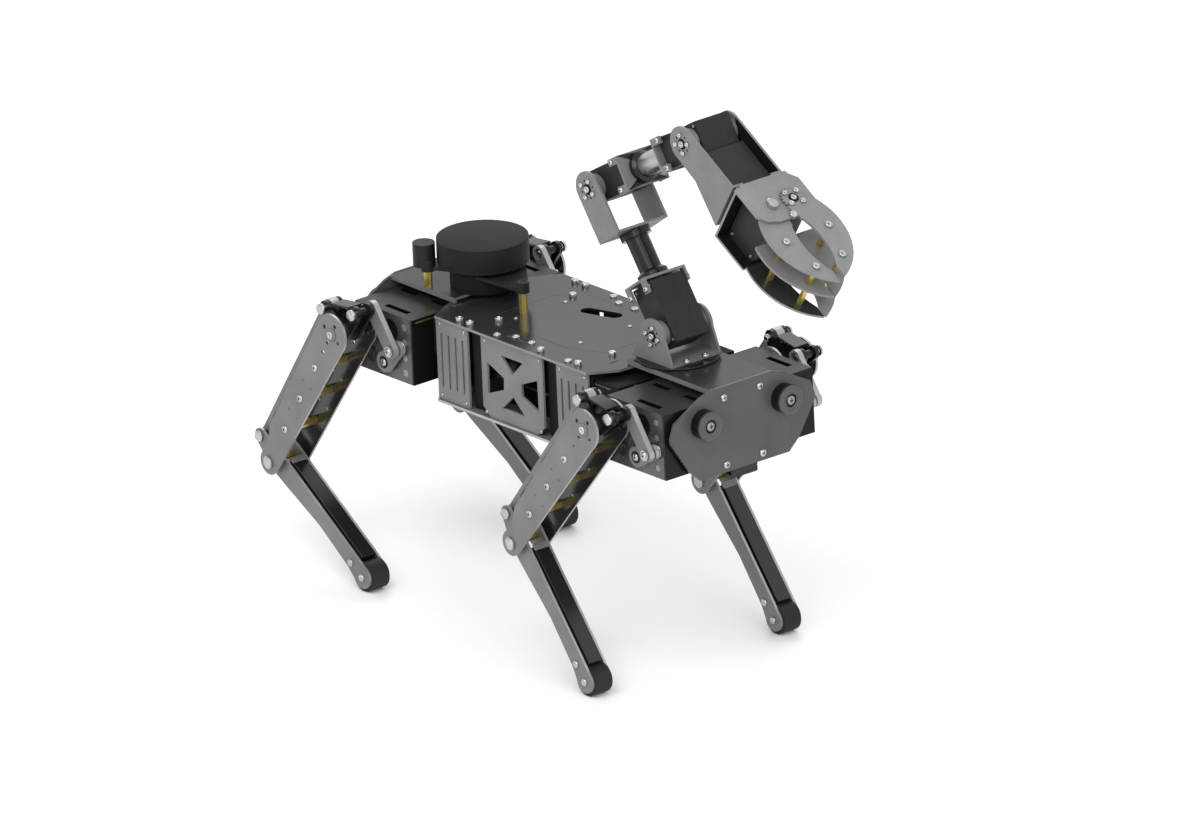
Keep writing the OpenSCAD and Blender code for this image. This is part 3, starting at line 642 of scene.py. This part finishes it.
def rocker_details(end, side, leg):
    hip = in_body(joint_pos(f"{leg}_pitch"))
    rod = in_body(joint_pos(f"{leg}_rod_turn"))
    rear = (rod - hip).normalized()
    turn = Matrix.Rotation(math.radians(ROCKER_ANGLE), 3, "Y")
    front = hip + (turn @ rear) * ROCKER_ARM
    piece = Piece(f"{leg}_rocker_fittings", f"{leg}_rocker", "slot_rocker")
    for pin in (rod, front):
        outer = place((pin.x, side * (LEG_Y + ROCKER_OUT), pin.z), (0, side, 0))
        piece.turned(outer, "steel", [(4.2, 0), (4.2, 1.6), (3.9, 1.9), (0.1, 1.9)])
        inner = place((pin.x, side * (LEG_Y - ROCKER_OUT), pin.z), (0, -side, 0))
        cross_screw(piece, inner, radius=2.6, height=1.2)
    middle = (rod + front) / 2
    across = (front - rod)
    lift = place((middle.x, side * LEG_Y, middle.z), across.cross(Vector((0, 1, 0))), across)
    span = across.length / 2 - 7
    back = lift.inverted() @ Vector((hip.x, side * LEG_Y, hip.z))
    top = 4.2 if back.z < 0 else -4.2
    piece.box(lift, "black", (-span, -6.8, top - 1.5), (span, 6.8, top), chamfer=0.5)
    piece.done()


def shank_details(end, side, leg):
    knee = in_body(joint_pos(f"{leg}_knee"))
    foot_low, foot_high = (in_body(corner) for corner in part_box(f"{leg}_foot"))
    middle = (foot_low + foot_high) / 2
    foot = Vector((middle.x, side * LEG_Y, middle.z))
    knee = Vector((knee.x, side * LEG_Y, knee.z))
    along = (foot - knee).normalized()
    ahead = Vector((-along.z, 0, along.x))
    if ahead.x < 0:
        ahead = -ahead
    where = place(knee, ahead, along)
    piece = Piece(f"{leg}_shank_fittings", f"{leg}_shank", "slot_shank")
    piece.box(where, "cover", (12, -6.4, 10.4), (107.5, 6.4, 10.9), chamfer=0.3)
    piece.box(where, "panel", (8.5, -6.8, 10), (13.5, 6.8, 11.6), chamfer=0.4)
    for station in SHANK_RIVETS:
        for turn in (-1, 1):
            spot = knee + along * station
            rivet = place((spot.x, side * (LEG_Y + turn * 10.5), spot.z), (0, side * turn, 0))
            piece.turned(rivet, "steel", [(2.9, 0), (2.8, 0.4), (2.2, 0.9), (0.1, 1.1)], sides=24)
    rod = in_body(joint_pos(f"{leg}_rod_turn"))
    hip = in_body(joint_pos(f"{leg}_pitch"))
    lever = knee + (rod - hip)
    for turn in (-1, 1):
        head = place((lever.x, side * (LEG_Y + turn * CHEEK_OUT), lever.z), (0, side * turn, 0))
        piece.turned(head, "steel", [(4.2, 0), (4.2, 1.0), (3.9, 1.3), (0.1, 1.3)])
    piece.done()


def crank_details(end, side, leg):
    axis = in_body(joint_pos(f"{leg}_crank_turn"))
    pin = in_body(joint_pos(f"{leg}_link_turn"))
    piece = Piece(f"{leg}_crank_fittings", f"{leg}_crank", "slot_crank")
    where = place((axis.x, side * CRANK_OUT, axis.z), (0, side, 0))
    washer(piece, where, 4.6, 3.4, 0.4, "inside")
    cross_screw(piece, where, radius=3, height=1.4)
    piece.done()
    piece = Piece(f"{leg}_crank_pin_fittings", f"{leg}_crank_pin", "slot_crank_pin")
    where = place((pin.x, side * PIN_OUT, pin.z), (0, side, 0))
    cross_screw(piece, where, radius=3, height=1.4)
    where = place((pin.x, side * PIN_IN, pin.z), (0, -side, 0))
    washer(piece, where, 5.4, 3, 0.6, "steel")
    piece.done()


def horn_screws(piece, where):
    """Four screws and a centre screw on a servo's strap, and dark discs of painted shade for the small
    holes between them.
    """
    screw(piece, where, radius=2.7, height=1.8, socket=2.2)
    washer(piece, where, 4.2, 2.8, 0.3, "inside")
    for k in range(4):
        for extra, made in ((45, True), (0, False)):
            angle = math.radians(90 * k + extra)
            spot = where @ Matrix.Translation((6.9 * math.cos(angle), 6.9 * math.sin(angle), 0))
            if made:
                screw(piece, spot, radius=2.0, height=1.9, socket=1.6)
            else:
                # Each small hole is a dark disc: painted shade in the hole.
                piece.turned(spot, "inside", [(0.9, -0.1), (0.9, 0.06)], sides=12)


def servo_shell(piece, where, low, high):
    """Moulded servo case: three slightly proud shells with seams and corner screws."""
    seams = (low[1], low[1] + 7, high[1] - 9, high[1])
    for first, second in zip(seams, seams[1:]):
        piece.box(where, "servo", (low[0] - 0.2, first + 0.15, low[2] - 0.2),
                  (high[0] + 0.2, second - 0.15, high[2] + 0.2), chamfer=0.7)
    for y, out in ((low[1], -1), (high[1], 1)):
        for x in (low[0] + 3, high[0] - 3):
            for z in (low[2] + 3, high[2] - 3):
                spot = where @ place((x, y, z), (0, out, 0))
                piece.turned(spot, "dull_steel", [(1.3, 0), (1.3, 0.25), (0.6, 0.25), (0.6, 0)], sides=16)


def arm_details():
    straps = (("arm_waist", UPPER, "slot_arm_waist"), ("upper_arm", FORE, "slot_upper_arm"),
              ("wrist", WRIST, "slot_wrist"))
    for body, where, slot in straps:
        piece = Piece(f"{body}_horn_screws", body, slot)
        for out in (-1, 1):
            horn_screws(piece, where @ place((0, out * STRAP_OUT, 0), (0, out, 0)))
        piece.done()
    piece = Piece("waist_fittings", "arm_waist", "slot_arm_waist")
    for x, y in ((152, 8), (152, -10), (108, 8), (108, -10)):
        screw(piece, place((x, y, 28.8), (0, 0, 1)), radius=2.6, height=2)
    piece.turned(place((129.9, 0, 24.9), (0, 0, 1)), "black",
                 [(30.9, 0), (31.3, 0.4), (31.3, 1.7), (30.9, 2.1), (30.2, 2.15)], sides=64, cap_end=False)
    piece.done()
    for body, frames in (("upper_arm", (UPPER,)), ("forearm", (FORE, FORE_BACK))):
        piece = Piece(f"{body}_servo_shells", body, f"slot_{body}")
        for where in frames:
            low, high = (Vector(SERVO_LOW), Vector(SERVO_HIGH))
            if where is FORE_BACK:
                low.y, high.y = -18, 14.6
            servo_shell(piece, where, low, high)
            for out in (-1, 1):
                for z in (-11, 11):
                    cross_screw(piece, where @ place((33.5, out * 20, z), (0, out, 0)), radius=2.4)
            for k in range(4):
                angle = math.radians(45 + 90 * k)
                spot = where @ place((44.4, 9.6 * math.cos(angle), 9.6 * math.sin(angle)), (1, 0, 0))
                screw(piece, spot, radius=1.5, height=1.6, socket=1.2)
        piece.done()
    piece = Piece("wrist_servo_shell", "wrist", "slot_wrist")
    servo_shell(piece, WRIST, Vector((18, -16, -18)), Vector((57, 19, 6.8)))
    piece.done()
    piece = Piece("palm_servo_shell", "palm", "slot_palm")
    servo_shell(piece, WRIST, Vector((66, -14, -34)), Vector((96, 22, 12)))
    for x, y in ((86, -10), (103, 0)):
        screw(piece, WRIST @ Matrix.Translation((x, y, 19.2)), radius=3, height=3.2)
    for k in range(4):
        angle = math.radians(45 + 90 * k)
        screw(piece, WRIST @ place((62.4, 7.5 * math.cos(angle), -6 + 7.5 * math.sin(angle)), (-1, 0, 0)),
              radius=1.6, height=1.2, socket=1.2)
    piece.done()
    for node, side, level in (("finger_left", 1, 21.4), ("finger_right", -1, 16.6)):
        piece = Piece(f"{node}_fittings", node, f"slot_{node}")
        for x, y in FINGER_SPACERS:
            screw(piece, WRIST @ Matrix.Translation((x, side * y, level)), radius=3, height=2.4)
            screw(piece, WRIST @ place((x, side * y, -25), (0, 0, -1)), radius=3, height=2.4)
        if side > 0:
            hub = WRIST @ Matrix.Translation((*FINGER_PIVOT, level))
            washer(piece, hub, 4.2, 2.6, 0.4, "inside")
            screw(piece, hub, radius=2.5, height=1.2)
            for k in range(4):
                angle = math.radians(40 + 90 * k)
                screw(piece, hub @ Matrix.Translation((7.4 * math.cos(angle), 7.4 * math.sin(angle), 0)),
                      radius=2.2, height=2)
        piece.done()


def scanner_details():
    piece = Piece("scanner_base_fittings", "body", "slot_scanner_base")
    centre = Matrix.Translation((SCANNER_X, 0, 0))
    piece.turned(centre, "scanner_low", [(24.5, 24.6), (25.5, 26), (25.5, 37.6), (27, 40.8), (31, 43.4),
                                         (30, 43.9)], sides=72, cap_end=False)
    for x, y in ((-35, -12), (-122, -31.5), (-122, 31.5)):
        piece.turned(place((x, y, 44.8), (0, 0, 1)), "scanner_low",
                     [(4.8, 0), (4.8, 0.3), (4.2, 0.6), (2.2, 0.6), (2.2, -0.6)], sides=24)
    piece.done()
    piece = Piece("scanner_head_fittings", "scanner_head", "slot_scanner_head")
    piece.turned(centre, "scanner", [(33.4, 44.1), (34.4, 45.2), (34.6, 46), (34.6, 62.2), (34.3, 62.8),
                                     (33.8, 63.05), (0.1, 63.05)], sides=96)
    piece.done()


deck_details()
interior_details()
for end, side, leg in LEGS:
    hip_details(end, side, leg)
    thigh_details(end, side, leg)
    rocker_details(end, side, leg)
    shank_details(end, side, leg)
    crank_details(end, side, leg)
arm_details()
scanner_details()

# ---- studio ----


def make_studio():
    half = 4
    mesh = bpy.data.meshes.new("floor")
    mesh.from_pydata([(-half, -half, 0), (half, -half, 0), (half, half, 0), (-half, half, 0)],
                     [], [(0, 1, 2, 3)])
    floor = bpy.data.objects.new("floor", mesh)
    bpy.context.collection.objects.link(floor)
    mesh.materials.append(surface("floor_white", (0.86, 0.86, 0.86), 0.6, vary=0.01, cloud=3))
    world = bpy.data.worlds.new("studio")
    world.use_nodes = True
    world.node_tree.nodes["Background"].inputs["Color"].default_value = (1, 1, 1, 1)
    world.node_tree.nodes["Background"].inputs["Strength"].default_value = 1.0
    bpy.context.scene.world = world
    bpy.context.scene.view_settings.view_transform = "Standard"
    for name, spot, size, power in (("key", (0.6, -1.6, 2.2), 1.6, 32),
                                    ("fill", (2.2, -0.4, 1.4), 1.8, 16),
                                    ("back", (-1.4, 1.4, 2.0), 1.6, 14)):
        data = bpy.data.lights.new(name, "AREA")
        data.size = size
        data.energy = power
        light = bpy.data.objects.new(name, data)
        light.location = spot
        light.rotation_mode = "QUATERNION"
        light.rotation_quaternion = (Vector((0, 0, 0.2)) - Vector(spot)).to_track_quat("-Z", "Y")
        bpy.context.collection.objects.link(light)


make_studio()
